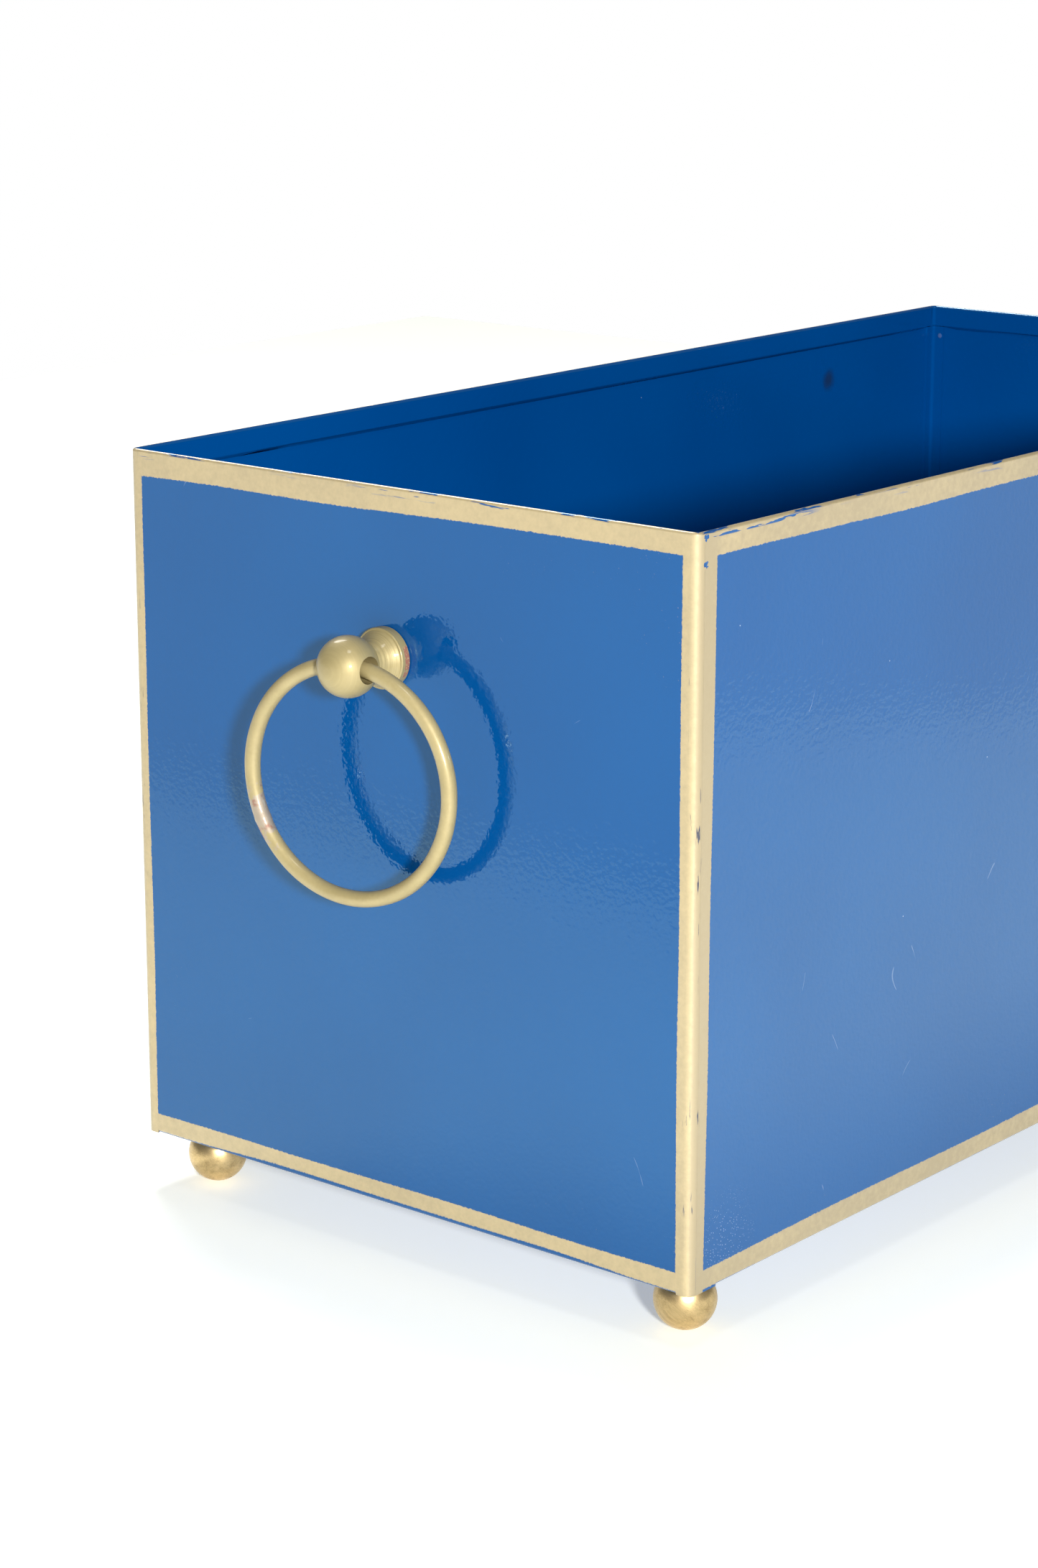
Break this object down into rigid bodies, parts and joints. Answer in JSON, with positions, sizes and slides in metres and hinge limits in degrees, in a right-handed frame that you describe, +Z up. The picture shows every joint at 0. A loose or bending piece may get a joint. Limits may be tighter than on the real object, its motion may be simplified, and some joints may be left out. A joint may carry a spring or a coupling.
{
  "type": "rectangular metal planter",
  "caption": "Open-top rectangular sheet-metal planter box with hemmed walls, ball feet and a swinging ring handle on a turned post at each end.",
  "frame": {"origin": "on the ground, under the middle of the box (centre of the bounding box's underside)", "axes": "+Z up, +X along the box's length towards its right end, -Y towards the front"},
  "size_m": [0.5142, 0.226, 0.2481],
  "materials": {
    "painted_sheet": "gloss blue enamel with hand-painted gold border stripes",
    "post_brass": "turned, gold-lacquered, satin",
    "ring_brass": "gold-lacquered wire, satin, worn at the joint",
    "foot_brass": "brushed antique",
    "steel_fastener": "zinc plated"
  },
  "bodies": {
    "box": {"left_end_wall": "painted_sheet", "right_end_wall": "painted_sheet", "front_wall": "painted_sheet", "back_wall": "painted_sheet", "bottom_panel": "painted_sheet", "foot_front_left": "foot_brass", "foot_front_right": "foot_brass", "foot_back_left": "foot_brass", "foot_back_right": "foot_brass", "foot_washer_front_left": "steel_fastener", "foot_washer_front_right": "steel_fastener", "foot_washer_back_left": "steel_fastener", "foot_washer_back_right": "steel_fastener", "foot_screw_front_left": "steel_fastener", "foot_screw_front_right": "steel_fastener", "foot_screw_back_left": "steel_fastener", "foot_screw_back_right": "steel_fastener", "left_handle_post": "post_brass", "right_handle_post": "post_brass", "left_handle_washer": "steel_fastener", "right_handle_washer": "steel_fastener", "left_handle_screw": "steel_fastener", "right_handle_screw": "steel_fastener"},
    "left_ring": {"left_handle_ring": "ring_brass"},
    "right_ring": {"right_handle_ring": "ring_brass"}
  },
  "joints": [
    {"name": "left_ring_swing", "type": "hinge", "parent": "box", "child": "left_ring", "pos_m": [-0.2476, 0.004, 0.1961], "axis": [0, 1, 0], "range_deg": [-10.5, 191]},
    {"name": "right_ring_swing", "type": "hinge", "parent": "box", "child": "right_ring", "pos_m": [0.2476, 0.004, 0.1961], "axis": [0, -1, 0], "range_deg": [-10.5, 191]}
  ]
}
